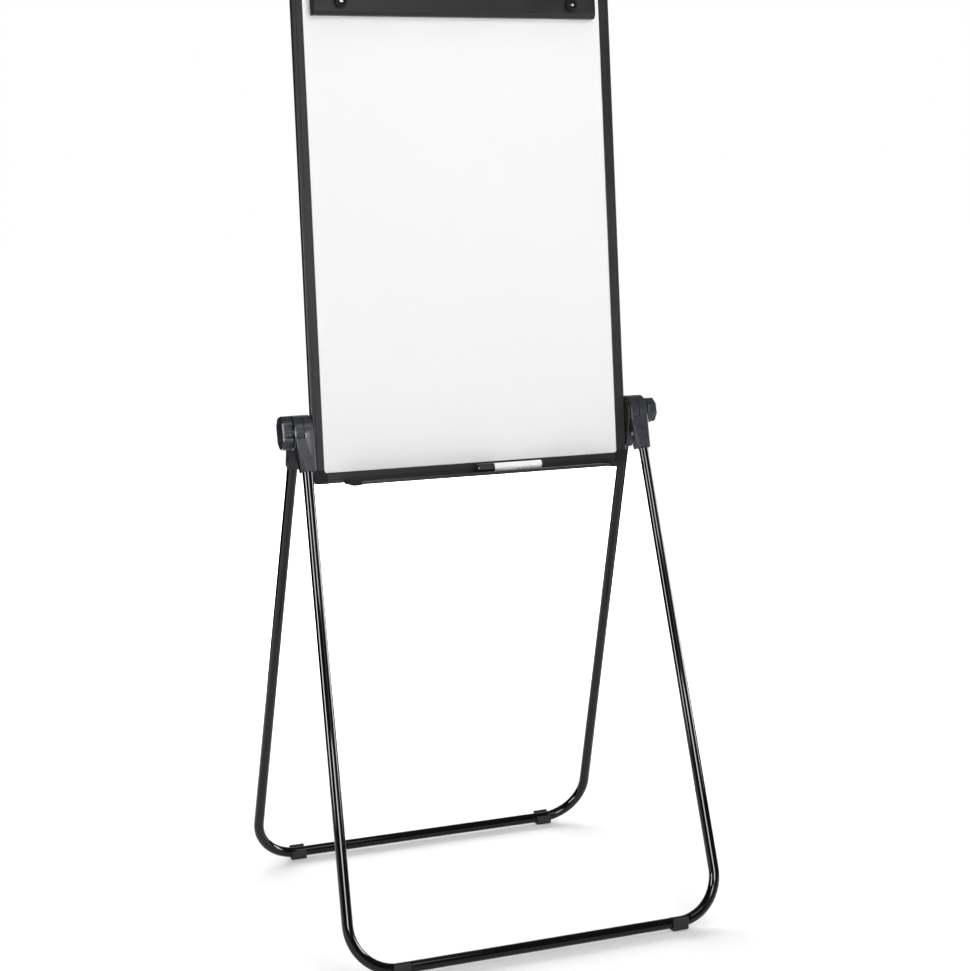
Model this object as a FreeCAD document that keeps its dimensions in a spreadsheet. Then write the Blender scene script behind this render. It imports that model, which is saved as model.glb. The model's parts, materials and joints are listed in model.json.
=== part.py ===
import FreeCAD, Part
import math
import os

import Sketcher

# Dry-erase presentation easel: a framed double-sided board hinged between two bent-tube legs.
# Millimetres. The floor is z = 0, the viewer stands on the -Y side, the pivot axis runs along X.

Vec = FreeCAD.Vector
Rot = FreeCAD.Rotation
Pose = FreeCAD.Placement
X_AXIS = Vec(1, 0, 0)
Z_AXIS = Vec(0, 0, 1)

# Driving sizes
SIZES = {
    # stance
    "pivot_height": 958.2,
    "leg_angle": 18.77,
    "tilt_angle": 4.92,
    # legs
    "tube_dia": 20.6,
    "tube_wall": 1.2,
    "bend_radius": 88.0,
    "leg_splay": 24.8,
    "leg_shift": 5.0,
    "tube_offset": 11.3,
    "tube_start": 38.0,
    # leg sockets
    "hub_radius": 33.0,
    "hub_width": 17.4,
    "hub_gap": 1.0,
    "hub_clear": 0.6,
    "hub_bevel": 1.6,
    "fold_gap": 0.4,
    "block_step": 16.5,
    "block_end": 79.0,
    "block_end_depth": 24.5,
    "block_round": 3.0,
    "facet_start": 18.0,
    "facet_size": 16.5,
    "facet_depth": 27.5,
    "block_taper": 8.4,
    "socket_clear": 0.05,
    "rivet_dia": 5.0,
    "rivet_head_dia": 10.0,
    "rivet_head": 1.0,
    "rivet_station": 47.0,
    "rivet_sunk": 4.7,
    # feet
    "foot_in": 92.0,
    "foot_length": 31.5,
    "foot_depth": 28.0,
    "foot_sole": 3.0,
    "foot_wall": 12.0,
    "foot_low_wall": 5.5,
    "foot_mouth": 20.0,
    "foot_neck": 18.4,
    "foot_bevel": 2.0,
    "foot_toe": 4.5,
    # board
    "sheet_width": 609.6,
    "sheet_height": 914.4,
    "sheet_below": 80.0,
    "sheet_thick": 1.0,
    "core_thick": 9.0,
    "panel_lap": 12.0,
    "panel_clear": 0.15,
    "rail_face": 21.0,
    "rail_depth": 16.0,
    "rail_web": 5.6,
    "rail_bevel": 1.5,
    "rail_line": 1.2,
    "rail_line_depth": 0.6,
    "cap_leg": 26.2,
    "cap_proud": 0.4,
    "cap_round": 7.0,
    "cap_inner_round": 4.5,
    # pivot
    "bracket_thick": 2.0,
    "bracket_radius": 30.0,
    "bracket_reach": 66.0,
    "bracket_foot": 18.0,
    "stud_dia": 8.0,
    "stud_clear": 0.05,
    "flange_dia": 20.0,
    "flange_thick": 1.4,
    "washer_thick": 0.8,
    "washer_dia": 50.0,
    "outer_washer_thick": 1.5,
    "outer_washer_dia": 26.0,
    "face_gap": 0.1,
    # clamp knobs
    "knob_long": 64.0,
    "knob_short": 48.0,
    "knob_corner": 14.0,
    "knob_depth": 20.0,
    "knob_bite": 5.0,
    "knob_bite_radius": 20.0,
    "knob_plate": 5.0,
    "knob_bevel": 2.2,
    "knob_roof": 5.0,
    "insert_dia": 14.0,
    "left_knob_turn": -14.0,
    "right_knob_turn": 76.0,
    # small screws
    "screw_dia": 4.0,
    "screw_head_dia": 8.0,
    "screw_head": 1.0,
    "bracket_screw_low": 60.0,
    "bracket_screw_high": 22.0,
    # marker tray
    "tray_shift": 14.0,
    "tray_in": 44.0,
    "tray_cap": 22.0,
    "tray_reach": 44.0,
    "tray_floor": 2.4,
    "tray_flange": 2.2,
    "tray_under": 13.0,
    "tray_wall": 1.2,
    "tray_lip": 2.5,
    "tray_cap_over": 1.5,
    "tray_cap_drop": 1.5,
    "tray_cap_round": 6.5,
    "tray_plug": 8.0,
    "tray_screw_in": 28.0,
    # pad clamp
    "pad_bar_in": 15.0,
    "pad_bar_drop": 49.1,
    "pad_bar_height": 48.4,
    "pad_bar_front": 24.0,
    "pad_bar_bevel": 7.5,
    "pad_bar_bevel_in": 6.0,
    "pad_bar_wall": 2.5,
    "pad_bar_gap": 0.2,
    "pad_cap": 3.0,
    "pad_stud_in": 53.8,
    "pad_stud_dia": 6.0,
    "pad_stud_head_dia": 14.0,
    "pad_stud_head": 2.3,
    "pad_stud_front": 38.0,
    "nut_dia": 24.0,
    "nut_depth": 12.0,
    "nut_flutes": 16.0,
    "nut_flute_radius": 1.6,
    "nut_dish_dia": 15.0,
    "nut_dish": 4.0,
    # marker
    "marker_dia": 16.6,
    "marker_cap_dia": 17.2,
    "marker_start": -5.5,
    "marker_cap_length": 34.0,
    "marker_length": 138.0,
    "marker_neck_dia": 10.6,
    "marker_neck_clear": 0.2,
    "marker_plug_dia": 13.0,
    "marker_plug_length": 5.0,
    "marker_nib_dia": 4.4,
    "marker_from_rail": 18.0,
}


class Size:
    """A number together with the sheet expression that it comes from."""

    def __init__(self, text, value):
        self.text = text
        self.value = value

    def __add__(self, other):
        other = sized(other)
        return Size("(%s + %s)" % (self.text, other.text), self.value + other.value)

    def __sub__(self, other):
        other = sized(other)
        return Size("(%s - %s)" % (self.text, other.text), self.value - other.value)

    def __mul__(self, other):
        other = sized(other)
        return Size("(%s * %s)" % (self.text, other.text), self.value * other.value)

    def __truediv__(self, other):
        other = sized(other)
        return Size("(%s / %s)" % (self.text, other.text), self.value / other.value)

    def __neg__(self):
        return Size("(0 - %s)" % self.text, -self.value)

    __radd__ = __add__

    def __rsub__(self, other):
        return sized(other) - self

    __rmul__ = __mul__


def sized(number):
    return number if isinstance(number, Size) else Size(repr(float(number)), float(number))


def sine(angle):
    return Size("sin(%s * 1 deg)" % angle.text, math.sin(math.radians(angle.value)))


def cosine(angle):
    return Size("cos(%s * 1 deg)" % angle.text, math.cos(math.radians(angle.value)))


class Sheet:
    """The driving sizes, each read by its own name."""


doc = FreeCAD.newDocument("easel")
table = doc.addObject("Spreadsheet::Sheet", "Sizes")
d = Sheet()
for row, (alias, value) in enumerate(SIZES.items(), start=1):
    table.set("A%d" % row, alias)
    table.set("B%d" % row, str(value))
    table.setAlias("B%d" % row, alias)
    setattr(d, alias, Size("Sizes." + alias, value))
doc.recompute()

nodes = []


def keep(item, label, pose):
    """Gives a finished sub-part its name and its place."""
    item.Label = label
    item.Placement = pose
    nodes.append(item)
    return item


def body(name):
    return doc.addObject("PartDesign::Body", name)


def origin(part, role):
    return [f for f in part.Origin.OriginFeatures if f.Role == role][0]


def sketch(part, role, lift=None, aside=None, spin=0.0):
    """A sketch on one of the body's own planes, lifted along the plane's normal."""
    sk = part.newObject("Sketcher::SketchObject", "Sketch")
    sk.AttachmentSupport = [(origin(part, role), "")]
    sk.MapMode = "FlatFace"
    if spin:
        sk.AttachmentOffset = Pose(Vec(0, 0, 0), Rot(Z_AXIS, spin))
    if lift is not None:
        sk.setExpression("AttachmentOffset.Base.z", sized(lift).text)
    if aside is not None:
        sk.setExpression("AttachmentOffset.Base.x", sized(aside).text)
    return sk


def fix(sk, geo, point, x, y):
    """Fixes one point of a sketch by its two coordinates."""
    for kind, axis, coordinate in (("DistanceX", -2, x), ("DistanceY", -1, y)):
        if not isinstance(coordinate, Size) and coordinate == 0:
            sk.addConstraint(Sketcher.Constraint("PointOnObject", geo, point, axis))
            continue
        coordinate = sized(coordinate)
        index = sk.addConstraint(Sketcher.Constraint(kind, -1, 1, geo, point, coordinate.value))
        sk.setExpression("Constraints[%d]" % index, coordinate.text)


def polygon(sk, points):
    """A closed outline through the points."""
    flat = [Vec(sized(x).value, sized(y).value, 0) for x, y in points]
    first = sk.GeometryCount
    count = len(points)
    for i in range(count):
        sk.addGeometry(Part.LineSegment(flat[i], flat[(i + 1) % count]), False)
    for i in range(count):
        sk.addConstraint(Sketcher.Constraint("Coincident", first + i, 2, first + (i + 1) % count, 1))
    for i, (x, y) in enumerate(points):
        fix(sk, first + i, 1, x, y)
    return sk


def circle(sk, x, y, radius):
    radius = sized(radius)
    middle = Vec(sized(x).value, sized(y).value, 0)
    geo = sk.addGeometry(Part.Circle(middle, Z_AXIS, radius.value), False)
    index = sk.addConstraint(Sketcher.Constraint("Radius", geo, radius.value))
    sk.setExpression("Constraints[%d]" % index, radius.text)
    fix(sk, geo, 3, x, y)
    return sk


def extrude(part, kind, sk, length, both=False, back=False):
    item = part.newObject("PartDesign::" + kind, kind)
    item.Profile = sk
    item.SideType = "Symmetric" if both else "One side"
    item.setExpression("Length", sized(length).text)
    item.Reversed = back
    return item


def pad(part, sk, length, both=False, back=False):
    return extrude(part, "Pad", sk, length, both, back)


def pocket(part, sk, length, both=False, back=False):
    return extrude(part, "Pocket", sk, length, both, back)


def turn(part, kind, sk, axis):
    item = part.newObject("PartDesign::" + kind, kind)
    item.Profile = sk
    item.ReferenceAxis = (sk, [axis])
    item.Angle = 360
    return item


def edges_where(item, test):
    doc.recompute()
    return ["Edge%d" % (i + 1) for i, e in enumerate(item.Shape.Edges) if test(e)]


def dress(part, kind, item, names, size):
    """A fillet or chamfer of the named edges."""
    dressed = part.newObject("PartDesign::" + kind, kind)
    dressed.Base = (item, names)
    dressed.setExpression("Radius" if kind == "Fillet" else "Size", sized(size).text)
    return dressed


def spun(name, outline, plane="XZ_Plane", axis="H_Axis"):
    """A turned piece: outline points are (along the axis, radius)."""
    part = body(name)
    sk = polygon(sketch(part, plane), outline)
    turn(part, "Revolution", sk, axis)
    return part


def group(name, parts):
    item = doc.addObject("Part::Compound", name)
    item.Links = parts
    return item


# Sizes that follow from the driving ones
tube_radius = d.tube_dia / 2
bar_height = tube_radius + d.foot_sole
leg_length = (d.pivot_height - bar_height + d.tube_offset * sine(d.leg_angle)) / cosine(d.leg_angle)
splay_rate = d.leg_splay / leg_length
splay_angle = math.degrees(math.atan(splay_rate.value))
hub_inner = d.hub_gap / 2
hub_outer = hub_inner + d.hub_width
drum_width = hub_outer * 2
frame_half = d.sheet_width / 2 + d.rail_face
bracket_face = frame_half + d.bracket_thick
drum_face = bracket_face + d.flange_thick + d.face_gap
drum_middle = drum_face + hub_outer
drum_back = drum_middle + hub_outer
floor_half = drum_middle + d.leg_splay
foot_station = floor_half - d.foot_in
frame_low = d.sheet_below + d.rail_face
sheet_top = d.sheet_height - d.sheet_below
frame_top = sheet_top + d.rail_face
rail_half = d.rail_depth / 2
panel_half = d.core_thick / 2 + d.sheet_thick

# Places of the moving groups
pivot = Vec(0, 0, d.pivot_height.value)
leg_swing = Rot(X_AXIS, -d.leg_angle.value)
about = Rot(Z_AXIS, 180)
FRONT = Pose(pivot, leg_swing)
REAR = Pose(pivot, about * leg_swing)
BOARD = Pose(pivot, Rot(X_AXIS, -d.tilt_angle.value))
UPRIGHT = Pose(pivot, Rot())


def at(x, y, z, rotation=None):
    return Pose(Vec(sized(x).value, sized(y).value, sized(z).value), rotation or Rot())


# Legs


def leg_tube():
    """A bent tube: two legs and the floor bar, swept along one path."""
    part = body("LegTube")
    path = sketch(part, "XZ_Plane", lift=d.tube_offset)
    top_x = drum_middle + splay_rate * d.tube_start
    low = leg_length
    lean = math.atan(splay_rate.value)
    reach = d.bend_radius.value * math.tan((math.pi / 2 - lean) / 2)
    corner = Vec(floor_half.value, -low.value, 0)
    upper = corner + Vec(-math.sin(lean), math.cos(lean), 0) * reach
    inner = corner + Vec(-reach, 0, 0)
    middle = inner + Vec(0, d.bend_radius.value, 0)
    top = Vec(top_x.value, -d.tube_start.value, 0)

    def flip(v):
        return Vec(-v.x, v.y, 0)

    path.addGeometry(Part.LineSegment(flip(top), flip(upper)), False)
    left = Part.Circle(flip(middle), Z_AXIS, d.bend_radius.value)
    path.addGeometry(Part.ArcOfCircle(left, math.pi + lean, 1.5 * math.pi), False)
    path.addGeometry(Part.LineSegment(flip(inner), inner), False)
    right = Part.Circle(middle, Z_AXIS, d.bend_radius.value)
    path.addGeometry(Part.ArcOfCircle(right, 1.5 * math.pi, 2 * math.pi - lean), False)
    path.addGeometry(Part.LineSegment(upper, top), False)
    for geo in range(4):
        path.addConstraint(Sketcher.Constraint("Tangent", geo, 2, geo + 1, 1))
    for geo in (1, 3):
        index = path.addConstraint(Sketcher.Constraint("Radius", geo, d.bend_radius.value))
        path.setExpression("Constraints[%d]" % index, d.bend_radius.text)
    path.addConstraint(Sketcher.Constraint("Horizontal", 2))
    fix(path, 0, 1, -top_x, -d.tube_start)
    fix(path, 4, 2, top_x, -d.tube_start)
    for leg, sign in ((0, -1), (4, 1)):
        point = path.addGeometry(Part.Point(Vec(sign * corner.x, corner.y, 0)), True)
        path.addConstraint(Sketcher.Constraint("PointOnObject", point, 1, leg))
        path.addConstraint(Sketcher.Constraint("PointOnObject", point, 1, 2))
        index = path.addConstraint(Sketcher.Constraint("DistanceX", -1, 1, point, 1, sign * corner.x))
        path.setExpression("Constraints[%d]" % index, (floor_half * sign).text)
    index = path.addConstraint(Sketcher.Constraint("DistanceY", -1, 1, 2, 1, -low.value))
    path.setExpression("Constraints[%d]" % index, (-low).text)
    doc.recompute()
    ring = part.newObject("Sketcher::SketchObject", "Ring")
    ring.AttachmentSupport = [(path, "Edge1")]
    ring.MapMode = "NormalToEdge"
    circle(ring, 0, 0, tube_radius)
    circle(ring, 0, 0, tube_radius - d.tube_wall)
    sweep = part.newObject("PartDesign::AdditivePipe", "Sweep")
    sweep.Profile = ring
    sweep.Spine = (path, ["Edge%d" % n for n in range(1, 6)])
    # rivet holes near both upper ends
    for sign in (-1, 1):
        holes = sketch(part, "YZ_Plane", lift=drum_middle * sign)
        circle(holes, -d.tube_offset, -d.rivet_station, d.rivet_dia / 2 + d.socket_clear)
        pocket(part, holes, d.tube_dia * 2, both=True)
    return part


def leg_socket(side):
    """Half a hinge drum with a block that passes under the other half and grips the tube."""
    part = body("LegSocket")
    under = hub_outer + hub_inner
    for step, start, width in ((sized(0), hub_inner, d.hub_width), (d.block_step, -hub_outer, under)):
        block = polygon(sketch(part, "YZ_Plane", lift=start), [
            (-block_depth(step), -step),
            (-block_depth(d.block_end), -d.block_end),
            (-d.fold_gap, -d.block_end),
            (-d.fold_gap, -step),
        ])
        solid = pad(part, block, width)
    dress(part, "Fillet", solid, edges_where(solid, front_edge), d.block_round)
    drum = polygon(sketch(part, "XZ_Plane"), [
        (hub_inner, 0),
        (hub_inner, d.hub_radius),
        (hub_outer - d.hub_bevel, d.hub_radius),
        (hub_outer, d.hub_radius - d.hub_bevel),
        (hub_outer, 0),
    ])
    turn(part, "Revolution", drum, "H_Axis")
    seat = sketch(part, "YZ_Plane", lift=hub_inner)
    circle(seat, 0, 0, d.hub_radius + d.hub_clear)
    pocket(part, seat, drum_width)
    # the side that passes under the other drum half leans in towards the tube and has a slanting facet
    lean = polygon(sketch(part, "XZ_Plane"), [
        (-hub_outer - 1, -d.facet_start),
        (-hub_outer, -d.facet_start),
        (d.block_taper - hub_outer, -d.block_end),
        (-hub_outer - 1, -d.block_end),
    ])
    pocket(part, lean, d.hub_radius * 4, both=True)
    ends = []
    for station, size in ((d.facet_start, sized(0.4)), (d.block_end + 1, d.facet_size)):
        ends.append(polygon(sketch(part, "XY_Plane", lift=-station), [
            (-hub_outer - 2, -block_depth(station) - 2),
            (-hub_outer + size, -block_depth(station) - 2),
            (-hub_outer - 2, -block_depth(station) + size * d.facet_depth / d.facet_size),
        ]))
    wedge = part.newObject("PartDesign::SubtractiveLoft", "Facet")
    wedge.Profile = ends[0]
    wedge.Sections = [ends[1]]
    wedge.Ruled = True
    bore = sketch(part, "XZ_Plane", lift=d.tube_offset, aside=d.leg_shift, spin=side * splay_angle)
    bore_radius = tube_radius + d.socket_clear
    polygon(bore, [
        (0, -d.tube_start + 0.5),
        (bore_radius, -d.tube_start + 0.5),
        (bore_radius, -d.block_end - 5),
        (0, -d.block_end - 5),
    ])
    turn(part, "Groove", bore, "V_Axis")
    holes = sketch(part, "YZ_Plane")
    circle(holes, 0, 0, d.stud_dia / 2 + d.stud_clear)
    circle(holes, -d.tube_offset, -d.rivet_station, d.rivet_dia / 2 + d.socket_clear)
    pocket(part, holes, drum_width * 2, both=True)
    # flat seat for the rivet's head on the leaning side
    spot = sketch(part, "YZ_Plane", lift=d.rivet_sunk - hub_outer)
    circle(spot, -d.tube_offset, -d.rivet_station, d.rivet_head_dia / 2 + 0.5)
    pocket(part, spot, d.rivet_sunk + 1)
    return part


def block_depth(station):
    """How far the block's sloping front stands before the pivot axis, by distance below it."""
    return d.hub_radius - (d.hub_radius - d.block_end_depth) * station / d.block_end


def front_edge(edge):
    """True for the two long edges of the block's sloping front."""
    box = edge.BoundBox
    outside = abs(abs(box.XMin) - hub_outer.value) < 0.01
    return outside and box.ZLength > d.block_end.value / 2 and box.YMax < -d.block_end_depth.value * 0.9


def rivet():
    """A domed rivet through the socket and the tube."""
    seat = d.rivet_sunk - hub_outer
    head = d.rivet_head_dia / 2
    shank = d.rivet_dia / 2
    return spun("Rivet", [
        (seat - d.rivet_head, 0),
        (seat - d.rivet_head, head * 0.55),
        (seat - d.rivet_head / 3, head),
        (seat, head),
        (seat, shank),
        (hub_outer, shank),
        (hub_outer, head),
        (hub_outer + d.rivet_head / 3, head),
        (hub_outer + d.rivet_head, head * 0.55),
        (hub_outer + d.rivet_head, 0),
    ])


def foot():
    """A snap-on saddle under the floor bar, open at the top."""
    part = body("Foot")
    half = d.foot_depth / 2
    outer = polygon(sketch(part, "YZ_Plane"), [
        (d.foot_toe - half, -bar_height),
        (half - d.foot_toe, -bar_height),
        (half, d.foot_toe - bar_height),
        (half, d.foot_wall / 2),
        (half - d.foot_bevel / 2, d.foot_wall),
        (d.foot_bevel / 2 - half, d.foot_wall),
        (-half, d.foot_wall / 2),
        (-half, d.foot_toe - bar_height),
    ])
    shell = pad(part, outer, d.foot_length, both=True)
    rims = edges_where(shell, end_rim)
    dress(part, "Chamfer", shell, rims, d.foot_bevel / 2)
    seat = circle(sketch(part, "YZ_Plane"), 0, 0, tube_radius + d.socket_clear)
    pocket(part, seat, d.foot_length * 2, both=True)
    neck = d.foot_neck / 2
    mouth = d.foot_mouth / 2
    slot = polygon(sketch(part, "YZ_Plane"), [
        (-neck, 0),
        (neck, 0),
        (neck, d.foot_wall * 0.7),
        (mouth, d.foot_wall + 1),
        (-mouth, d.foot_wall + 1),
        (-neck, d.foot_wall * 0.7),
    ])
    pocket(part, slot, d.foot_length * 2, both=True)
    # the arm on the easel's inner side is lower
    inner = polygon(sketch(part, "YZ_Plane"), [
        (0, d.foot_low_wall),
        (d.foot_depth, d.foot_low_wall),
        (d.foot_depth, d.foot_wall + 1),
        (0, d.foot_wall + 1),
    ])
    pocket(part, inner, d.foot_length * 2, both=True)
    return part


def end_rim(edge):
    """True for the outline of the foot's two ends, but not along the floor."""
    box = edge.BoundBox
    on_end = box.XLength < 0.01 and abs(abs(box.XMin) - d.foot_length.value / 2) < 0.01
    return on_end and box.ZMin > -bar_height.value + 0.1


for name, place, facing in (("front", FRONT, Rot()), ("rear", REAR, about)):
    keep(leg_tube(), name + "_leg_tube", place * at(d.leg_shift, 0, 0))
    pins = []
    for side in (-1, 1):
        # the rear leg is the front one turned about, so its sides change over
        hand = side if name == "front" else -side
        word = ("left" if hand < 0 else "right")
        keep(leg_socket(side), "%s_%s_socket" % (name, word), place * at(drum_middle * side, 0, 0))
        pin = rivet()
        pin.Placement = at(drum_middle * side, -d.tube_offset, -d.rivet_station)
        pins.append(pin)
        low = (place * at(d.leg_shift + foot_station * side, -d.tube_offset, -leg_length)).Base
        keep(foot(), "%s_%s_foot" % (name, word), Pose(low, facing))
    keep(group(name + "_rivets", pins), name + "_socket_rivets", place)


# Board


def panel(half_x, low, high, thick, holes):
    """A flat sheet in the board's plane, drilled for the pad studs."""
    part = body("Panel")
    face = polygon(sketch(part, "XZ_Plane"), [(-half_x, low), (half_x, low), (half_x, high), (-half_x, high)])
    for sign in (-1, 1):
        circle(face, pad_stud_station * sign, pad_bar_middle, holes)
    pad(part, face, thick, both=True)
    return part


pad_bar_half = d.sheet_width / 2 - d.pad_bar_in
pad_bar_low = sheet_top - d.pad_bar_drop
pad_bar_middle = pad_bar_low + d.pad_bar_height / 2
pad_stud_station = pad_bar_half - d.pad_stud_in
stud_hole = d.pad_stud_dia / 2 + d.stud_clear
panel_x = d.sheet_width / 2 + d.panel_lap
panel_low = -d.sheet_below - d.panel_lap
panel_high = sheet_top + d.panel_lap
sheet_middle = (d.core_thick + d.sheet_thick) / 2
keep(panel(panel_x, panel_low, panel_high, d.core_thick, stud_hole), "board_core", BOARD)
keep(panel(panel_x, panel_low, panel_high, d.sheet_thick, stud_hole), "front_writing_sheet",
     BOARD * at(0, -sheet_middle, 0))
keep(panel(panel_x, panel_low, panel_high, d.sheet_thick, stud_hole), "back_writing_sheet",
     BOARD * at(0, sheet_middle, 0))


def rail(length, drill):
    """A frame rail: x runs outwards from the lip, z along the rail."""
    part = body("Rail")
    slot = panel_half + d.panel_clear
    floor = d.rail_face - d.rail_web
    line = d.rail_face * 0.62
    bevel = d.rail_bevel
    front = [
        (0, -slot),
        (0, -rail_half + bevel / 2),
        (bevel / 2, -rail_half),
        (line, -rail_half),
        (line, d.rail_line_depth - rail_half),
        (line + d.rail_line, d.rail_line_depth - rail_half),
        (line + d.rail_line, -rail_half),
        (d.rail_face - bevel, -rail_half),
        (d.rail_face, bevel - rail_half),
    ]
    back = [(x, -sized(y)) for x, y in reversed(front)]
    outline = polygon(sketch(part, "XY_Plane"), front + back + [(floor, slot), (floor, -slot)])
    pad(part, outline, length)
    if drill:
        plane, spots = drill
        holes = sketch(part, plane)
        for along, across in spots:
            circle(holes, across, along, d.screw_dia / 2)
        pocket(part, holes, d.rail_face * 3, both=True)
    return part


tray_end = frame_half - d.tray_in - d.tray_cap
tray_screw_out = tray_end - d.tray_screw_in
tray_screws_at = (-tray_screw_out, -tray_screw_out / 3, tray_screw_out / 3, tray_screw_out)
side_length = frame_top + frame_low - d.cap_leg * 2
cross_length = frame_half * 2 - d.cap_leg * 2
side_start = d.cap_leg - frame_low
side_spots = [(-d.bracket_screw_low - side_start, 0), (d.bracket_screw_high - side_start, 0)]
keep(rail(side_length, ("YZ_Plane", side_spots)), "right_rail", BOARD * at(d.sheet_width / 2, 0, side_start))
keep(rail(side_length, ("YZ_Plane", side_spots)), "left_rail",
     BOARD * at(-d.sheet_width / 2, 0, side_start, Rot(Z_AXIS, 180)))
# the top and bottom rails lie along X with their outer edge up or down
along_x = Rot(Vec(0, 1, 0), 90)
keep(rail(cross_length, None), "top_rail", BOARD * at(cross_length / 2, 0, sheet_top, Rot(Vec(0, 1, 0), -90)))
low_spots = []
for station in tray_screws_at:
    low_spots.append((cross_length / 2 + d.tray_shift + station, 0))
keep(rail(cross_length, ("YZ_Plane", low_spots)), "bottom_rail",
     BOARD * at(-cross_length / 2, 0, -d.sheet_below, along_x))


def corner_cap():
    """An L-shaped moulding over a corner of the frame, slotted for the panel."""
    part = body("CornerCap")
    leg = d.cap_leg
    face = d.rail_face
    ell = [(0, 0), (leg, 0), (leg, face), (face, face), (face, leg), (0, leg)]
    shape = polygon(sketch(part, "XZ_Plane"), ell)
    solid = pad(part, shape, d.rail_depth + d.cap_proud * 2, both=True)
    outside = edges_where(solid, lambda e: e.BoundBox.XMax < 0.01 and e.BoundBox.ZMax < 0.01)
    first = dress(part, "Fillet", solid, outside, d.cap_round)
    inside = edges_where(first, inner_corner)
    dress(part, "Fillet", first, inside, d.cap_inner_round)
    lap = face - d.panel_lap - d.panel_clear
    slot = polygon(sketch(part, "XZ_Plane"), [(lap, lap), (leg * 2, lap), (leg * 2, leg * 2), (lap, leg * 2)])
    pocket(part, slot, (panel_half + d.panel_clear) * 2, both=True)
    return part


def inner_corner(edge):
    box = edge.BoundBox
    face = d.rail_face.value
    return abs(box.XMin - face) + abs(box.XMax - face) + abs(box.ZMin - face) + abs(box.ZMax - face) < 0.01


for word, x, z, rotation in (
    ("lower_left", -frame_half, -frame_low, Rot()),
    ("lower_right", frame_half, -frame_low, Rot(Vec(0, 1, 0), -90)),
    ("upper_right", frame_half, frame_top, Rot(Vec(0, 1, 0), 180)),
    ("upper_left", -frame_half, frame_top, Rot(Vec(0, 1, 0), 90)),
):
    keep(corner_cap(), word + "_corner", BOARD * at(x, 0, z, rotation))


# Pivot


def bracket():
    """A plate on the side of the frame: round at the pivot, tapering down the rail."""
    part = body("Bracket")
    disc = circle(sketch(part, "YZ_Plane"), 0, 0, d.bracket_radius)
    pad(part, disc, d.bracket_thick)
    half = d.bracket_foot / 2
    wide = d.bracket_radius * 0.94
    tail = polygon(sketch(part, "YZ_Plane"), [
        (-half, -d.bracket_reach),
        (half, -d.bracket_reach),
        (wide, -d.bracket_radius * 0.34),
        (-wide, -d.bracket_radius * 0.34),
    ])
    pad(part, tail, d.bracket_thick)
    holes = sketch(part, "YZ_Plane")
    circle(holes, 0, 0, d.stud_dia / 2)
    for z in (-d.bracket_screw_low, d.bracket_screw_high):
        circle(holes, 0, z, d.screw_dia / 2)
    pocket(part, holes, d.bracket_thick * 3, both=True)
    return part


def screw(grip):
    """A pan-head screw along x, its head outwards and its tip at the web's inner side."""
    head = d.screw_head_dia / 2
    shank = d.screw_dia / 2
    return spun("Screw", [
        (-grip, 0),
        (-grip, shank * 0.6),
        (-grip + shank, shank),
        (0, shank),
        (0, head),
        (d.screw_head * 0.5, head),
        (d.screw_head, head * 0.6),
        (d.screw_head, 0),
    ])


def washer(dia, thick):
    part = body("Washer")
    ring = sketch(part, "YZ_Plane")
    circle(ring, 0, 0, dia / 2)
    circle(ring, 0, 0, d.stud_dia / 2 + d.stud_clear)
    pad(part, ring, thick)
    return part


knob_face = drum_back + d.outer_washer_thick + d.face_gap * 2
stud_end = knob_face + d.knob_depth - d.knob_roof - 1


def pivot_stud():
    """A threaded stud swaged into the bracket, with a flange that spaces the drum off it."""
    shank = d.stud_dia / 2
    flange = bracket_face + d.flange_thick
    return spun("PivotStud", [
        (frame_half, 0),
        (frame_half, shank),
        (bracket_face, shank),
        (bracket_face, d.flange_dia / 2),
        (flange, d.flange_dia / 2),
        (flange, shank),
        (stud_end - 1, shank),
        (stud_end, shank - 1),
        (stud_end, 0),
    ])


def knob():
    """An oblong clamp knob with a finger scallop in each long side, behind a plain end plate."""
    part = body("Knob")
    half_long = d.knob_long / 2
    half_short = d.knob_short / 2
    cut = d.knob_corner
    shape = polygon(sketch(part, "YZ_Plane"), [
        (half_short, half_long - cut),
        (half_short - cut, half_long),
        (cut - half_short, half_long),
        (-half_short, half_long - cut),
        (-half_short, cut - half_long),
        (cut - half_short, -half_long),
        (half_short - cut, -half_long),
        (half_short, cut - half_long),
    ])
    solid = pad(part, shape, d.knob_depth)
    corners = edges_where(solid, lambda e: e.BoundBox.XLength > d.knob_depth.value * 0.9)
    dress(part, "Fillet", solid, corners, d.knob_corner * 0.6)
    bites = sketch(part, "YZ_Plane")
    for sign in (-1, 1):
        circle(bites, (half_short + d.knob_bite_radius - d.knob_bite) * sign, 0, d.knob_bite_radius)
    scalloped = pocket(part, bites, d.knob_depth - d.knob_plate, back=True)
    rim = edges_where(scalloped, knob_rim)
    dress(part, "Chamfer", scalloped, rim, d.knob_bevel)
    bore = circle(sketch(part, "YZ_Plane"), 0, 0, d.insert_dia / 2)
    pocket(part, bore, d.knob_depth - d.knob_roof, back=True)
    return part


def knob_rim(edge):
    return edge.BoundBox.XMin > d.knob_depth.value - 0.01


def knob_insert():
    """A threaded bush pressed into the knob."""
    part = body("KnobInsert")
    ring = sketch(part, "YZ_Plane")
    circle(ring, 0, 0, d.insert_dia / 2)
    circle(ring, 0, 0, d.stud_dia / 2 + d.stud_clear)
    pad(part, ring, d.knob_depth - d.knob_roof)
    return part


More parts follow.
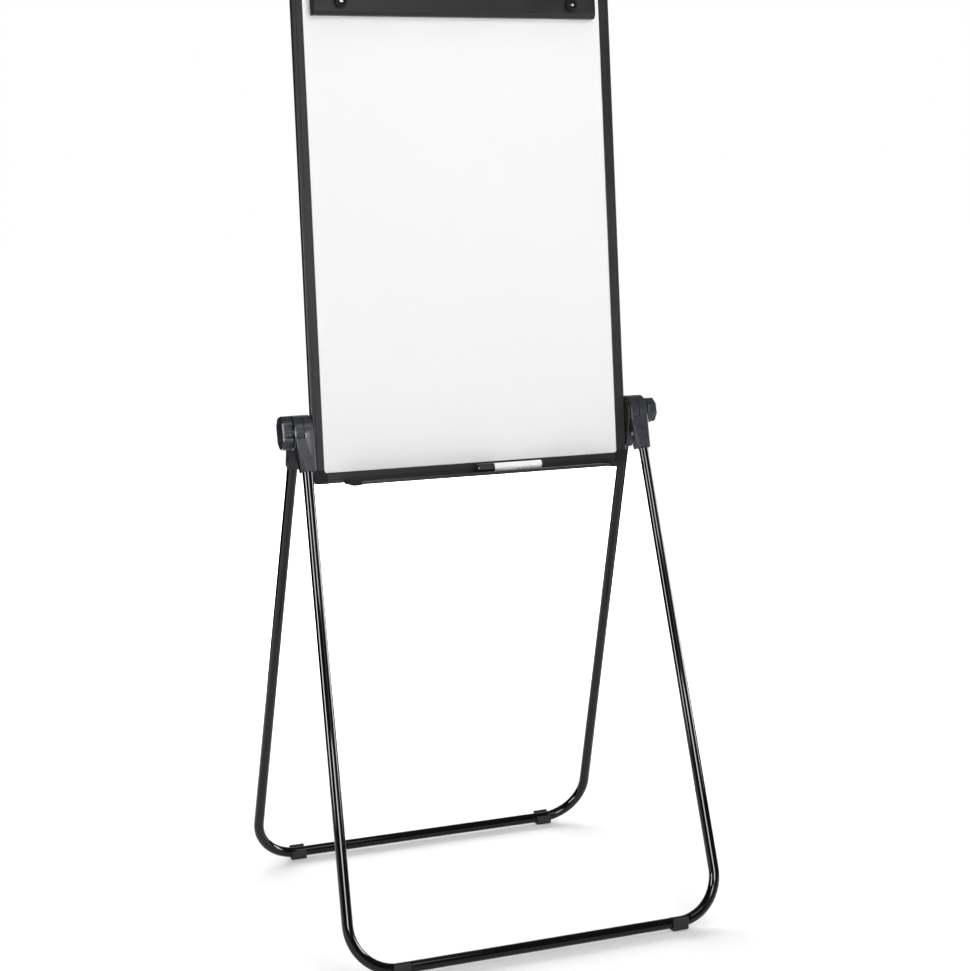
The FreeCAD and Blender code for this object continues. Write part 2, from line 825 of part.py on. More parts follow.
screws = []
for side, word, spin in ((-1, "left", d.left_knob_turn), (1, "right", d.right_knob_turn)):
    facing = Rot() if side > 0 else about
    keep(bracket(), word + "_bracket", BOARD * at(frame_half * side, 0, 0, facing))
    keep(pivot_stud(), word + "_pivot_stud", BOARD * at(0, 0, 0, facing))
    keep(washer(d.washer_dia, d.washer_thick), word + "_friction_washer",
         BOARD * at((drum_middle - d.washer_thick / 2) * side, 0, 0, facing))
    keep(washer(d.outer_washer_dia, d.outer_washer_thick), word + "_clamp_washer",
         BOARD * at((drum_back + d.face_gap) * side, 0, 0, facing))
    for z in (-d.bracket_screw_low, d.bracket_screw_high):
        item = screw(d.bracket_thick + d.rail_web)
        item.Placement = at(bracket_face * side, 0, z, facing)
        screws.append(item)
    grip = UPRIGHT * at(knob_face * side, 0, 0, Rot(X_AXIS, spin.value) * facing)
    keep(knob(), word + "_knob", grip)
    keep(knob_insert(), word + "_knob_insert", grip)
keep(group("BracketScrews", screws), "bracket_screws", BOARD)


# Marker tray

tray_top = -frame_low + d.tray_floor
tray_under = -frame_low - d.tray_flange
tray_back = -rail_half - d.face_gap
tray_front = tray_back - d.tray_reach


def tray():
    """A hollow shelf with a low front lip and a flange under the bottom rail."""
    part = body("Tray")
    wall = d.tray_wall
    section = polygon(sketch(part, "YZ_Plane"), [
        (rail_half - (d.rail_depth - d.tray_under), -frame_low),
        (tray_back, -frame_low),
        (tray_back, tray_top),
        (tray_front + wall * 2, tray_top),
        (tray_front + wall, tray_top + d.tray_lip),
        (tray_front + wall * 0.4, tray_top + d.tray_lip),
        (tray_front, tray_top + d.tray_lip * 0.6),
        (tray_front, tray_under + wall),
        (tray_front + wall, tray_under),
        (rail_half - (d.rail_depth - d.tray_under), tray_under),
    ])
    polygon(section, chamber(sized(0)))
    pad(part, section, tray_end * 2, both=True)
    holes = sketch(part, "XY_Plane")
    for station in tray_screws_at:
        circle(holes, station, 0, d.screw_dia / 2)
    pocket(part, holes, frame_low * 3, both=True)
    return part


def chamber(clear):
    """The hollow inside the shelf, made smaller by a clearance."""
    wall = d.tray_wall + clear
    return [
        (tray_front + wall, tray_under + wall),
        (tray_back - wall, tray_under + wall),
        (tray_back - wall, tray_top - wall),
        (tray_front + wall, tray_top - wall),
    ]


def tray_cap():
    """A moulded end with a tongue in the shelf's hollow; x points away from the board's middle."""
    part = body("TrayCap")
    over = d.tray_cap_over
    block = polygon(sketch(part, "YZ_Plane"), [
        (tray_back, tray_under - d.tray_cap_drop),
        (tray_back, tray_top + over),
        (tray_front - over, tray_top + d.tray_lip + over),
        (tray_front - over, tray_under - d.tray_cap_drop),
    ])
    solid = pad(part, block, d.tray_cap)
    bow = edges_where(solid, bow_edge)
    dress(part, "Fillet", solid, bow, d.tray_cap_round)
    tongue = polygon(sketch(part, "YZ_Plane"), chamber(sized(0.1)))
    pad(part, tongue, d.tray_plug, back=True)
    return part


def bow_edge(edge):
    """The outer lower edge of the tray's end."""
    box = edge.BoundBox
    outer = box.XMin > d.tray_cap.value - 0.01
    return outer and box.ZMax < (tray_under - d.tray_cap_drop).value + 0.01


on_rail = BOARD * at(d.tray_shift, 0, 0)
keep(tray(), "marker_tray", on_rail)
keep(tray_cap(), "right_tray_end", on_rail * at(tray_end, 0, 0))
left_end = doc.addObject("Part::Mirroring", "LeftTrayEnd")
left_source = tray_cap()
left_source.Placement = at(tray_end, 0, 0)
left_end.Source = left_source
left_end.Normal = X_AXIS
keep(left_end, "left_tray_end", on_rail)
tray_screws = []
for station in tray_screws_at:
    item = screw(d.tray_flange + d.rail_web)
    item.Placement = at(station, 0, tray_under, along_x)
    tray_screws.append(item)
keep(group("TrayScrews", tray_screws), "tray_screws", on_rail)


# Pad clamp

bar_back = -panel_half - d.pad_bar_gap
bar_top = pad_bar_low + d.pad_bar_height


def bar_outline(inset):
    """The bar's outer outline made smaller all round by a wall."""
    low = pad_bar_low + inset
    high = bar_top - inset
    front = -d.pad_bar_front + inset
    slope = inset * 0.45
    return [
        (bar_back, low),
        (front + d.pad_bar_bevel_in, low),
        (front, low + d.pad_bar_bevel - slope),
        (front, high - d.pad_bar_bevel + slope),
        (front + d.pad_bar_bevel_in, high),
        (bar_back, high),
    ]


def pad_bar():
    """A channel bar, open towards the board, that clamps a paper pad."""
    part = body("PadBar")
    outer = polygon(sketch(part, "YZ_Plane"), bar_outline(sized(0)))
    pad(part, outer, (pad_bar_half - d.pad_cap) * 2, both=True)
    inner = bar_outline(d.pad_bar_wall)
    inner[0] = (bar_back + 1, inner[0][1])
    inner[-1] = (bar_back + 1, inner[-1][1])
    hollow = polygon(sketch(part, "YZ_Plane"), inner)
    pocket(part, hollow, pad_bar_half * 3, both=True)
    holes = sketch(part, "XZ_Plane")
    for sign in (-1, 1):
        circle(holes, pad_stud_station * sign, pad_bar_middle, stud_hole)
    pocket(part, holes, d.pad_bar_front * 4, both=True)
    return part


def pad_bar_cap():
    """A plate that closes the bar's end, with a tongue inside the channel."""
    part = body("PadBarCap")
    face = polygon(sketch(part, "YZ_Plane"), bar_outline(sized(0)))
    pad(part, face, d.pad_cap)
    tongue = polygon(sketch(part, "YZ_Plane"), bar_outline(d.pad_bar_wall + 0.1))
    pad(part, tongue, d.tray_plug, back=True)
    return part


def pad_stud():
    """A flat-headed bolt through the board; z points to the viewer."""
    shank = d.pad_stud_dia / 2
    head = d.pad_stud_head_dia / 2
    return spun("PadStud", [
        (-panel_half - d.pad_stud_head, 0),
        (-panel_half - d.pad_stud_head, head * 0.7),
        (-panel_half - d.pad_stud_head * 0.4, head),
        (-panel_half, head),
        (-panel_half, shank),
        (d.pad_stud_front - 1, shank),
        (d.pad_stud_front, shank - 1),
        (d.pad_stud_front, 0),
    ])


def thumb_nut():
    """A fluted thumb nut with a dished face; x points away from the bar."""
    dish = d.nut_dish_dia / 2
    bore = d.pad_stud_dia / 2 + d.stud_clear
    outer = d.nut_dia / 2
    part = spun("ThumbNut", [
        (0, bore),
        (0, outer * 0.8),
        (1.5, outer * 0.8),
        (2.5, outer),
        (d.nut_depth - 1, outer),
        (d.nut_depth, outer - 1),
        (d.nut_depth, dish),
        (d.nut_depth - d.nut_dish, dish - 1.5),
        (d.nut_depth - d.nut_dish, bore),
    ])
    flute = circle(sketch(part, "YZ_Plane"), outer + d.nut_flute_radius * 0.5, 0, d.nut_flute_radius)
    cut = pocket(part, flute, d.nut_depth * 3, both=True)
    doc.recompute()
    flutes = part.newObject("PartDesign::PolarPattern", "Flutes")
    flutes.Originals = [cut]
    flutes.Axis = (origin(part, "X_Axis"), [""])
    flutes.Angle = 360
    flutes.setExpression("Occurrences", d.nut_flutes.text)
    part.Tip = flutes
    return part


forward = Rot(Z_AXIS, -90)
keep(pad_bar(), "pad_bar", BOARD)
keep(pad_bar_cap(), "right_bar_end", BOARD * at(pad_bar_half - d.pad_cap, 0, 0))
left_bar_end = doc.addObject("Part::Mirroring", "LeftBarEnd")
left_bar_source = pad_bar_cap()
left_bar_source.Placement = at(pad_bar_half - d.pad_cap, 0, 0)
left_bar_end.Source = left_bar_source
left_bar_end.Normal = X_AXIS
keep(left_bar_end, "left_bar_end", BOARD)
studs = []
for side, word in ((-1, "left"), (1, "right")):
    item = pad_stud()
    item.Placement = at(pad_stud_station * side, 0, pad_bar_middle, forward)
    studs.append(item)
    keep(thumb_nut(), word + "_thumb_nut",
         BOARD * at(pad_stud_station * side, -d.pad_bar_front - d.face_gap, pad_bar_middle, forward))
keep(group("PadStuds", studs), "pad_studs", BOARD)


# Marker

cap_end = d.marker_start + d.marker_cap_length
barrel_end = d.marker_start + d.marker_length - d.marker_plug_length
neck = d.marker_neck_dia / 2
barrel = d.marker_dia / 2
nib = d.marker_nib_dia / 2
plug = d.marker_plug_dia / 2
cap_radius = d.marker_cap_dia / 2
nib_root = d.marker_start + d.marker_cap_length * 0.35
plug_root = barrel_end - d.marker_plug_length
lying = BOARD * at(0, -rail_half - d.marker_from_rail - cap_radius, tray_top + cap_radius)
keep(spun("MarkerBarrel", [
    (nib_root, nib),
    (nib_root, nib + 1),
    (nib_root + 6, neck),
    (cap_end, neck),
    (cap_end, barrel - 0.6),
    (cap_end + 0.6, barrel),
    (barrel_end, barrel),
    (barrel_end, plug - 1),
    (plug_root, plug - 1),
    (plug_root, nib),
]), "marker_barrel", lying)
keep(spun("MarkerNib", [
    (nib_root - 5, 0),
    (nib_root - 5, nib * 0.5),
    (nib_root - 1, nib),
    (plug_root - 30, nib),
    (plug_root - 30, 0),
]), "marker_nib", lying)
keep(spun("MarkerPlug", [
    (plug_root + 1, 0),
    (plug_root + 1, plug - 1),
    (barrel_end, plug - 1),
    (barrel_end, plug),
    (barrel_end + d.marker_plug_length - 1, plug),
    (barrel_end + d.marker_plug_length, plug - 1),
    (barrel_end + d.marker_plug_length, 0),
]), "marker_plug", lying)
inner_radius = neck + d.marker_neck_clear
keep(spun("MarkerCap", [
    (d.marker_start, 0),
    (d.marker_start, cap_radius - 1.5),
    (d.marker_start + 1.5, cap_radius),
    (cap_end, cap_radius),
    (cap_end, inner_radius),
    (d.marker_start + 3, inner_radius),
    (d.marker_start + 3, 0),
]), "marker_cap", lying)


# Check and write

doc.recompute()
for item in doc.Objects:
    for word in ("Invalid", "Error"):
        if word in item.State:
            raise RuntimeError("%s is %s" % (item.Label, word))
os.makedirs("parts", exist_ok=True)
for item in nodes:
    shape = item.Shape
    if shape.isNull() or not shape.isValid() or not shape.Solids:
        raise RuntimeError("%s has no sound solid" % item.Label)
    shape.exportStep("parts/%s.step" % item.Label)
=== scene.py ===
import json
import math

import bmesh
import bpy
from bpy.props import FloatProperty, FloatVectorProperty, IntProperty, PointerProperty
from mathutils import Matrix, Vector


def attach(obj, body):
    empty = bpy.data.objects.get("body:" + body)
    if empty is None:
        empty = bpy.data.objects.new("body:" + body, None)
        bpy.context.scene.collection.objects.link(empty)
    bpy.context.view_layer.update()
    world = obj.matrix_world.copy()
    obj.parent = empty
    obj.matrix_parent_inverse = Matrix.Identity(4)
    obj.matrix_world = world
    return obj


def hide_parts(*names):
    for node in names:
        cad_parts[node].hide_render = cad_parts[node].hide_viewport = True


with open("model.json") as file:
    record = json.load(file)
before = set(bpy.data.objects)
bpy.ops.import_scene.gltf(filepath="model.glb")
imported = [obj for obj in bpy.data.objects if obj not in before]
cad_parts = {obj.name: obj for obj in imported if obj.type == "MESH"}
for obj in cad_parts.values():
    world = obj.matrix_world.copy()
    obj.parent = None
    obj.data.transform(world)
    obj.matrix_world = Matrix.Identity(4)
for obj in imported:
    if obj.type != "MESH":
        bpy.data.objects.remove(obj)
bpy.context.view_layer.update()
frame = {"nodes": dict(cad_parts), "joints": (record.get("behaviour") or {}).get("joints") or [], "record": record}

bl_info = {
    "name": "Dry-erase easel",
    "version": (1, 0, 0),
    "blender": (4, 5, 0),
    "location": "View3D > Sidebar > Easel",
    "description": "Dresses the folding dry-erase easel and sets it on a pale studio floor",
    "category": "Object",
}

BODY_OF = {node: body for body, nodes in frame["record"]["behaviour"]["bodies"].items() for node in nodes}
SLOT_OF = {row["node"]: row["material_slot"] for row in frame["record"]["subparts"]}
JOINT = {row["name"]: row for row in frame["joints"]}
PIVOT = Vector(JOINT["leg_fold"]["pos_m"])
UP_BOARD = Vector(JOINT["marker_lift"]["axis"])
TILT = math.atan2(UP_BOARD.y, UP_BOARD.z)
BOARD = Matrix.Translation(PIVOT) @ Matrix.Rotation(-TILT, 4, "X")
MILLIMETRE = 0.001

# The photograph's camera: its frame in pixels, and the lens and place fitted to the easel
IMAGE_WIDTH, IMAGE_HEIGHT = 970, 971
SENSOR = 36.0
FOCAL_PIXELS = 1983.88
CENTRE_PIXELS = (516.16, 406.27)
CAMERA_PLACE = Vector((-1.32512, -3.62104, 1.47840))
CAMERA_YAW, CAMERA_PITCH, CAMERA_ROLL = 0.3735, 0.1267, -0.0118


def linear(code):
    """Turns an sRGB hex colour into linear red, green, blue and alpha."""
    parts = [int(code[i:i + 2], 16) / 255 for i in (0, 2, 4)]
    return tuple(c / 12.92 if c <= 0.04045 else ((c + 0.055) / 1.055) ** 2.4 for c in parts) + (1.0,)


def length(name, millimetres, description):
    return FloatProperty(
        name=name, description=description, default=millimetres * MILLIMETRE,
        min=0.0, unit="LENGTH", precision=4)


def colour(name, code, description):
    return FloatVectorProperty(
        name=name, description=description, default=linear(code), subtype="COLOR", size=4, min=0.0, max=1.0)


class EaselSizes(bpy.types.PropertyGroup):
    """Sizes of the pieces that are made here"""
    tube_diameter: length("Tube diameter", 20.6, "Outside of the bent leg tube")
    bend_radius: length("Bend radius", 88.0, "Centre line of the tube's floor bends")
    hinge_half_span: length("Hinge half span", 347.2, "From the middle to a leg's centre line at the pivot")
    floor_half_span: length("Floor half span", 372.0, "From the middle to a leg's centre line at the floor")
    leg_shift: length("Leg shift", 5.0, "How far a leg stands aside of the middle")
    tube_offset: length("Tube offset", 11.3, "From the pivot axis to the tube's plane")
    tube_start: length("Tube start", 38.0, "From the pivot down to the tube's upper end")
    foot_sole: length("Foot sole", 3.0, "Rubber under the floor bar")
    leg_angle: FloatProperty(
        name="Leg angle", description="Lean of each leg", default=math.radians(18.77), subtype="ANGLE")
    tube_sides: IntProperty(name="Tube sides", description="Faces round the tube", default=40, min=12)
    edge_round: length("Edge round", 0.5, "Rounding of moulded edges")
    rivet_head: length("Rivet head", 10.0, "Diameter of the rivets' domed heads")
    rivet_rise: length("Rivet rise", 1.0, "Height of the rivets' domes")
    screw_head: length("Screw head", 8.0, "Diameter of the pan-head screws")
    screw_rise: length("Screw rise", 1.0, "Height of the screws' heads")
    screw_length: length("Screw length", 8.0, "Length of the screws with their heads")


class EaselColours(bpy.types.PropertyGroup):
    """Colours of the finishes"""
    enamel: colour("Enamel", "060606", "Gloss black stove enamel on the leg tubes")
    frame: colour("Frame", "232325", "Black coated aluminium of the rails, the pad bar and the tray")
    moulding: colour("Moulding", "33353B", "Black ABS of the sockets and clamp knobs")
    knob: colour("Knob", "1D1E20", "Black nylon of the corners, end caps and thumb nuts")
    rubber: colour("Rubber", "0E0E0F", "Black rubber of the feet")
    board: colour("Board", "F5F5F6", "White melamine writing sheets")
    core: colour("Core", "A8835A", "Fibreboard core")
    zinc: colour("Zinc", "C3C6C9", "Zinc-plated steel")
    black_steel: colour("Black steel", "18191B", "Black coated steel of the brackets")
    brass: colour("Brass", "C9A35A", "Brass bushes of the knobs")
    marker_white: colour("Marker barrel", "FAFAF8", "White polypropylene of the marker")
    marker_black: colour("Marker cap", "141416", "Black polypropylene of the marker's cap")
    felt: colour("Felt", "1B1B1D", "Ink-soaked felt of the nib")
    floor: colour("Floor", "F4F4F5", "Pale studio floor")


# Materials


def add(tree, kind, inputs=None, **settings):
    """Adds one node, sets its properties, and fills or links its inputs."""
    item = tree.nodes.new(kind)
    for name, value in settings.items():
        setattr(item, name, value)
    for key, value in (inputs or {}).items():
        socket = item.inputs[key]
        if isinstance(value, bpy.types.NodeSocket):
            tree.links.new(value, socket)
        else:
            socket.default_value = value
    return item


def finish(name, base, roughness, **sockets):
    """A new material with its shader set; returns the material, its tree and the shader."""
    material = bpy.data.materials.new(name)
    material.use_nodes = True
    tree = material.node_tree
    shader = tree.nodes["Principled BSDF"]
    shader.inputs["Base Color"].default_value = base
    shader.inputs["Roughness"].default_value = roughness
    for key, value in sockets.items():
        shader.inputs[key.replace("_", " ")].default_value = value
    return material, tree, shader


def per_size(millimetres):
    """The scale that gives a texture features of a real size."""
    return 1.0 / (millimetres * MILLIMETRE)


def mottle(tree, shader, vector, size, low, high, socket, detail=3.0):
    """Varies a number of the shader between two values over patches of a real size."""
    noise = add(tree, "ShaderNodeTexNoise", {"Vector": vector, "Scale": per_size(size), "Detail": detail})
    spread = add(tree, "ShaderNodeMapRange", {
        "Value": noise.outputs["Fac"], "From Min": 0.3, "From Max": 0.7, "To Min": low, "To Max": high})
    tree.links.new(spread.outputs["Result"], shader.inputs[socket])
    return noise


# The colour sockets of the Mix node, which has one set for each kind of data
COLOUR_A, COLOUR_B, COLOUR_OUT = 6, 7, 2


def shade(tree, shader, factor, base, dark):
    """Mixes the base colour towards a darker one by a factor."""
    low = tuple(c * dark for c in base[:3]) + (1.0,)
    mix = add(tree, "ShaderNodeMix", {0: factor, COLOUR_A: base, COLOUR_B: low}, data_type="RGBA")
    tree.links.new(mix.outputs[COLOUR_OUT], shader.inputs["Base Color"])


def relief(tree, shader, height, depth, strength):
    """Raises the surface by a height pattern of a real depth in millimetres."""
    bump = add(tree, "ShaderNodeBump", {
        "Height": height, "Distance": depth * MILLIMETRE, "Strength": strength})
    tree.links.new(bump.outputs["Normal"], shader.inputs["Normal"])


def ray_is(tree, *kinds):
    """One for a ray of any of these kinds, and nought for the others."""
    rays = add(tree, "ShaderNodeLightPath")
    first, *others = [rays.outputs["Is %s Ray" % kind] for kind in kinds]
    for other in others:
        first = add(tree, "ShaderNodeMath", {0: first, 1: other}, operation="MAXIMUM").outputs[0]
    return first


def place(tree):
    """Object coordinates, which are the part's own, because each piece stands at the origin."""
    return add(tree, "ShaderNodeTexCoord").outputs["Object"]


def in_board(tree):
    """Object coordinates turned into the board's own plane."""
    turn = add(tree, "ShaderNodeMapping", {"Vector": place(tree), "Rotation": (TILT, 0.0, 0.0)})
    return turn.outputs["Vector"]


def stove_enamel(colours):
    # Stove enamel sprayed on steel tube: deep black, wet gloss, a faint orange peel
    material, tree, shader = finish("gloss_stove_enamel", colours.enamel, 0.04, Specular_IOR_Level=0.32)
    spot = place(tree)
    mottle(tree, shader, spot, 30.0, 0.03, 0.06, "Roughness")
    peel = add(tree, "ShaderNodeTexNoise", {"Vector": spot, "Scale": per_size(3.0), "Detail": 2.0})
    relief(tree, shader, peel.outputs["Fac"], 0.02, 0.05)
    return material


def coated_aluminium(colours, name, stretch):
    # Extruded aluminium with a satin black coat: the die leaves fine lines along the length.
    # The lines are drawn about 1 mm apart, coarser than real ones, so that they show.
    material, tree, shader = finish(name, colours.frame, 0.42, Specular_IOR_Level=0.22)
    spot = in_board(tree)
    lie = add(tree, "ShaderNodeMapping", {"Vector": spot, "Scale": stretch})
    lines = add(tree, "ShaderNodeTexNoise", {
        "Vector": lie.outputs["Vector"], "Scale": per_size(1.1), "Detail": 2.0})
    shade(tree, shader, lines.outputs["Fac"], tuple(colours.frame), 0.55)
    mottle(tree, shader, spot, 60.0, 0.38, 0.48, "Roughness")
    relief(tree, shader, lines.outputs["Fac"], 0.12, 0.35)
    return material


def moulded_abs(name, base, grain, roughness, gloss):
    # Injection-moulded ABS: satin black with a fine spark-eroded grain, rubbed smoother in patches
    material, tree, shader = finish(name, base, roughness, Specular_IOR_Level=gloss)
    spot = place(tree)
    mottle(tree, shader, spot, 18.0, roughness - 0.07, roughness + 0.08, "Roughness")
    grit = add(tree, "ShaderNodeTexNoise", {"Vector": spot, "Scale": per_size(grain), "Detail": 3.0})
    shade(tree, shader, grit.outputs["Fac"], tuple(base), 0.8)
    relief(tree, shader, grit.outputs["Fac"], 0.08, 0.3)
    return material


def foot_rubber(colours):
    # Moulded rubber: matt, slightly dusty, with a pebbled skin
    material, tree, shader = finish("moulded_rubber", colours.rubber, 0.62, Specular_IOR_Level=0.4)
    spot = place(tree)
    mottle(tree, shader, spot, 9.0, 0.52, 0.72, "Roughness")
    pebble = add(tree, "ShaderNodeTexVoronoi", {"Vector": spot, "Scale": per_size(1.4)})
    relief(tree, shader, pebble.outputs["Distance"], 0.12, 0.4)
    return material


def white_melamine(colours):
    # Melamine on paper: smooth, low gloss, with the faint grey clouds that wiped ink leaves
    material, tree, shader = finish("white_melamine", colours.board, 0.4, Specular_IOR_Level=0.3)
    spot = in_board(tree)
    wide = add(tree, "ShaderNodeMapping", {"Vector": spot, "Scale": (1.0, 1.0, 0.45)})
    cloud = add(tree, "ShaderNodeTexNoise", {
        "Vector": wide.outputs["Vector"], "Scale": per_size(160.0), "Detail": 4.0, "Distortion": 0.6})
    shade(tree, shader, cloud.outputs["Fac"], tuple(colours.board), 0.985)
    mottle(tree, shader, spot, 120.0, 0.36, 0.46, "Roughness")
    return material


def fibreboard(colours):
    # Medium-density fibreboard: matt brown with short flecks of fibre
    material, tree, shader = finish("fibreboard", colours.core, 0.85)
    spot = in_board(tree)
    fibre = add(tree, "ShaderNodeTexNoise", {"Vector": spot, "Scale": per_size(1.6), "Detail": 5.0})
    shade(tree, shader, fibre.outputs["Fac"], tuple(colours.core), 0.6)
    relief(tree, shader, fibre.outputs["Fac"], 0.2, 0.5)
    return material


def plated_metal(name, base, roughness):
    # Plated or turned metal: bright, with a blotchy plating and fine tool marks
    material, tree, shader = finish(name, base, roughness, Metallic=1.0)
    spot = place(tree)
    blotch = mottle(tree, shader, spot, 4.0, roughness - 0.08, roughness + 0.12, "Roughness")
    shade(tree, shader, blotch.outputs["Fac"], tuple(base), 0.82)
    marks = add(tree, "ShaderNodeTexNoise", {"Vector": spot, "Scale": per_size(0.6), "Detail": 2.0})
    relief(tree, shader, marks.outputs["Fac"], 0.03, 0.25)
    return material


def coated_steel(colours):
    # Pressed steel with a black dip coat: satin, a little uneven
    material, tree, shader = finish("black_coated_steel", colours.black_steel, 0.4)
    spot = place(tree)
    mottle(tree, shader, spot, 7.0, 0.32, 0.5, "Roughness")
    skin = add(tree, "ShaderNodeTexNoise", {"Vector": spot, "Scale": per_size(1.2), "Detail": 3.0})
    relief(tree, shader, skin.outputs["Fac"], 0.05, 0.3)
    return material


def marker_plastic(name, base):
    # Polypropylene: waxy gloss with faint drawn lines along the barrel
    material, tree, shader = finish(name, base, 0.3)
    spot = place(tree)
    drawn = add(tree, "ShaderNodeMapping", {"Vector": spot, "Scale": (0.02, 1.0, 1.0)})
    lines = add(tree, "ShaderNodeTexNoise", {
        "Vector": drawn.outputs["Vector"], "Scale": per_size(0.9), "Detail": 2.0})
    mottle(tree, shader, spot, 12.0, 0.24, 0.38, "Roughness")
    relief(tree, shader, lines.outputs["Fac"], 0.03, 0.2)
    return material


def ink_felt(colours):
    # Pressed felt soaked with ink: matt and fibrous
    material, tree, shader = finish("inked_felt", colours.felt, 0.95, Sheen_Weight=0.3)
    fibre = add(tree, "ShaderNodeTexNoise", {"Vector": place(tree), "Scale": per_size(0.3), "Detail": 4.0})
    relief(tree, shader, fibre.outputs["Fac"], 0.1, 0.8)
    return material


FINISHES = {}


def make_finishes(colours):
    """Makes each finish once; the keys say what they cover."""
    rail_side = (1.0, 1.0, 0.004)
    rail_cross = (0.004, 1.0, 1.0)
    FINISHES.update({
        "tube_paint": stove_enamel(colours),
        "upright_rail": coated_aluminium(colours, "coated_aluminium_upright", rail_side),
        "frame_black": coated_aluminium(colours, "coated_aluminium_level", rail_cross),
        "moulding_black": moulded_abs("moulded_black_abs", colours.moulding, 0.9, 0.3, 0.3),
        "knob_black": moulded_abs("moulded_black_nylon", colours.knob, 0.7, 0.6, 0.08),
        "foot_rubber": foot_rubber(colours),
        "white_melamine": white_melamine(colours),
        "core_board": fibreboard(colours),
        "zinc_steel": plated_metal("zinc_plated_steel", colours.zinc, 0.3),
        "black_steel": coated_steel(colours),
        "brass_bush": plated_metal("turned_brass", colours.brass, 0.25),
        "marker_white": marker_plastic("white_polypropylene", colours.marker_white),
        "marker_black": marker_plastic("black_polypropylene", colours.marker_black),
        "marker_felt": ink_felt(colours),
    })


# Shapes


def settle(item, name, node, material=None):
    """Names a finished piece, gives it its finish, and puts it in the CAD node's stead."""
    item.name = name
    if material is not None:
        item.data.materials.clear()
        item.data.materials.append(material)
    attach(item, BODY_OF[node])
    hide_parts(node)
    return item


def plain_mesh(item):
    """Turns an object and its modifiers into a plain mesh object at the origin."""
    graph = bpy.context.evaluated_depsgraph_get()
    mesh = bpy.data.meshes.new_from_object(item.evaluated_get(graph))
    made = bpy.data.objects.new(item.name, mesh)
    bpy.context.scene.collection.objects.link(made)
    bpy.data.objects.remove(item)
    return made


def link(name, data):
    """A new object in the scene."""
    item = bpy.data.objects.new(name, data)
    bpy.context.scene.collection.objects.link(item)
    return item


SHARP = math.radians(28)
FLAT = math.radians(0.6)
MERGE = 0.005 * MILLIMETRE
# Larger mouldings are rounded by a multiple of the common edge
SOCKET_ROUND = 2.2
HAND_ROUND = 1.6


def softened(node, radius, shortest=2.6):
    """A merged copy of a CAD node with its long sharp edges rounded and its round faces smooth."""
    mesh = bpy.data.meshes.new(node + "_soft")
    shape = bmesh.new()
    shape.from_mesh(frame["nodes"][node].data)
    bmesh.ops.remove_doubles(shape, verts=shape.verts, dist=MERGE)
    bmesh.ops.dissolve_limit(shape, angle_limit=FLAT, verts=shape.verts, edges=shape.edges)
    weight = shape.edges.layers.float.new("bevel_weight_edge")
    for face in shape.faces:
        face.smooth = True
    for edge in shape.edges:
        sharp = len(edge.link_faces) == 2 and edge.calc_face_angle(0.0) > SHARP
        edge.smooth = not sharp
        if sharp and edge.calc_length() > shortest * radius:
            edge[weight] = 1.0
    shape.to_mesh(mesh)
    shape.free()
    item = link(node + "_soft", mesh)
    if radius > 0:
        bevel = item.modifiers.new("Rounded edges", "BEVEL")
        bevel.limit_method = "WEIGHT"
        bevel.width = radius
        bevel.segments = 2
        bevel.use_clamp_overlap = True
        bevel.harden_normals = False
    return plain_mesh(item)


def dress(node, finish_name=None, radius=None):
    """Shows a CAD node as a softened copy with its finish."""
    sizes = bpy.context.scene.easel_sizes
    item = softened(node, sizes.edge_round if radius is None else radius)
    return settle(item, node + "_dressed", node, FINISHES[finish_name or SLOT_OF[node]])


def group_tree(name, inputs):
    """An empty Geometry Nodes tree with named inputs; returns the tree and its two end nodes."""
    tree = bpy.data.node_groups.new(name, "GeometryNodeTree")
    tree.interface.new_socket("Geometry", in_out="INPUT", socket_type="NodeSocketGeometry")
    for label, kind in inputs:
        tree.interface.new_socket(label, in_out="INPUT", socket_type=kind)
    tree.interface.new_socket("Geometry", in_out="OUTPUT", socket_type="NodeSocketGeometry")
    return tree, add(tree, "NodeGroupInput"), add(tree, "NodeGroupOutput")


def run_tree(item, tree, values):
    """Runs a tree on an object with its inputs set, and gives the plain mesh that it makes."""
    modifier = item.modifiers.new(tree.name, "NODES")
    modifier.node_group = tree
    names = {s.name: s.identifier for s in tree.interface.items_tree if s.in_out == "INPUT"}
    for label, value in values.items():
        modifier[names[label]] = value
    return plain_mesh(item)


def swept_tube_tree():
    """Rounds a path's corners and sweeps a round tube along it."""
    tree, start, end = group_tree("Bent tube", [
        ("Bend radius", "NodeSocketFloat"), ("Tube radius", "NodeSocketFloat"),
        ("Sides", "NodeSocketInt"), ("Finish", "NodeSocketMaterial")])
    bends = add(tree, "GeometryNodeFilletCurve", {
        "Curve": start.outputs["Geometry"], "Radius": start.outputs["Bend radius"], "Count": 28}, mode="POLY")
    ring = add(tree, "GeometryNodeCurvePrimitiveCircle", {
        "Resolution": start.outputs["Sides"], "Radius": start.outputs["Tube radius"]})
    sweep = add(tree, "GeometryNodeCurveToMesh", {
        "Curve": bends.outputs["Curve"], "Profile Curve": ring.outputs["Curve"], "Fill Caps": True})
    whole = add(tree, "GeometryNodeRealizeInstances", {"Geometry": sweep.outputs["Mesh"]})
    coat = add(tree, "GeometryNodeSetMaterial", {
        "Geometry": whole.outputs["Geometry"], "Material": start.outputs["Finish"]})
    tree.links.new(coat.outputs["Geometry"], end.inputs["Geometry"])
    return tree


